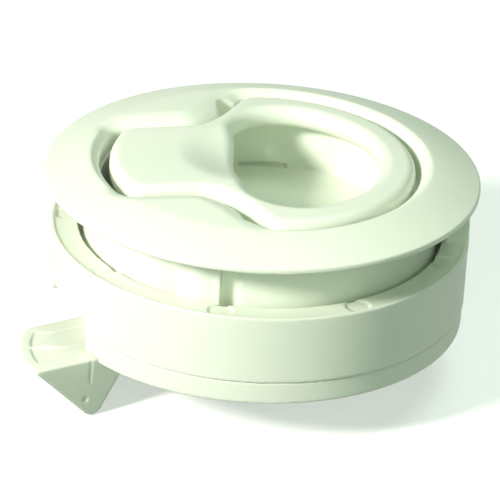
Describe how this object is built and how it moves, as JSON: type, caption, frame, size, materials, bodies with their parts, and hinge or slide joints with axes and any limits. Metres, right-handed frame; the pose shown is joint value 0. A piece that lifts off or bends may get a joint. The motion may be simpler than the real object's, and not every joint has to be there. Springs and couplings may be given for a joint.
{
  "type": "flush slam latch",
  "caption": "Round flush-mounted slam latch with a domed bezel, a lift-up ring handle in a finger cup, a rear clamp housing and a spring-loaded wedge bolt.",
  "frame": {"origin": "centre of the bezel flange's underside, on the panel's outside face", "axes": "+Z points out of the panel's outside face; X runs along the handle, with the hinged tab at -X and the ring at +X"},
  "size_m": [0.0805, 0.076, 0.0398],
  "materials": {
    "white_plastic": "satin moulded plastic",
    "steel": "satin stainless steel",
    "spring_steel": "drawn stainless spring wire",
    "brass": "turned brass"
  },
  "bodies": {
    "frame": {"bezel": "white_plastic", "handle_pin": "steel", "handle_spring": "spring_steel", "rear_housing": "white_plastic", "rear_cover": "white_plastic", "bolt_spring_left": "spring_steel", "bolt_spring_right": "spring_steel", "clamp_screw_front": "steel", "clamp_screw_rear": "steel", "clamp_washer_front": "steel", "clamp_washer_rear": "steel", "screw_insert_front": "brass", "screw_insert_rear": "brass", "cover_screw_1": "steel", "cover_screw_2": "steel", "cover_screw_3": "steel", "cover_screw_4": "steel"},
    "handle": {"handle": "white_plastic"},
    "bolt": {"bolt": "white_plastic", "spring_rod_left": "steel", "spring_rod_right": "steel"}
  },
  "joints": [
    {"name": "handle_lift", "type": "hinge", "parent": "frame", "child": "handle", "pos_m": [-0.017, 0, -0.0012], "axis": [0, -1, 0], "range_deg": [0, 31], "stiffness_Nm_per_rad": 0.2, "deforming": ["handle_spring"]},
    {"name": "bolt_slide", "type": "slide", "parent": "frame", "child": "bolt", "axis": [0.9135, 0.4067, 0], "range_m": [0, 0.00995], "deforming": ["bolt_spring_left", "bolt_spring_right"]}
  ],
  "couplings": [
    {"joint": "handle_lift", "follows": "bolt_slide", "rad_per_m": 54.399}
  ]
}
